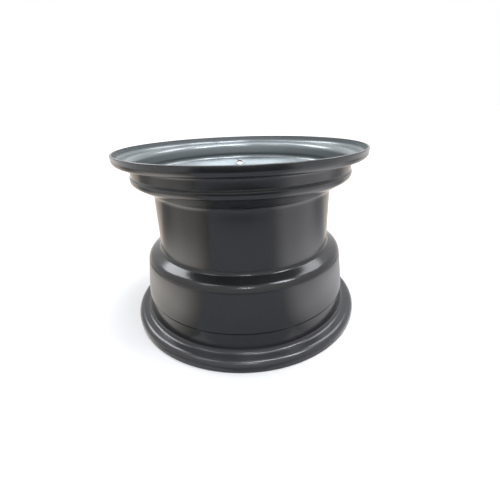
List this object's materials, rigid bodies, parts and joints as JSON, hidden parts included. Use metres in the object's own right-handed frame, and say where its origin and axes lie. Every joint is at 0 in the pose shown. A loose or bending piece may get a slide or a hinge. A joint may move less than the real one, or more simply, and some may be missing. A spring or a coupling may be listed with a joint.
{
  "type": "lawn mower wheel",
  "caption": "Painted steel drop-centre wheel rim for a turf tyre, with rolled flanges, an off-centre well, a pierced valve hole and a welded dished disc.",
  "frame": {"origin": "on the floor under the wheel's axis, with the wheel standing on its inboard flange", "axes": "+Z along the wheel's axis, from the inboard flange to the outboard flange on the valve side; the valve hole lies towards +Y"},
  "size_m": [0.3413, 0.3414, 0.2424],
  "materials": {
    "paint": "gloss"
  },
  "bodies": {
    "root": {"rim": "paint", "wheel_disc": "paint", "disc_welds": "paint"}
  },
  "joints": []
}
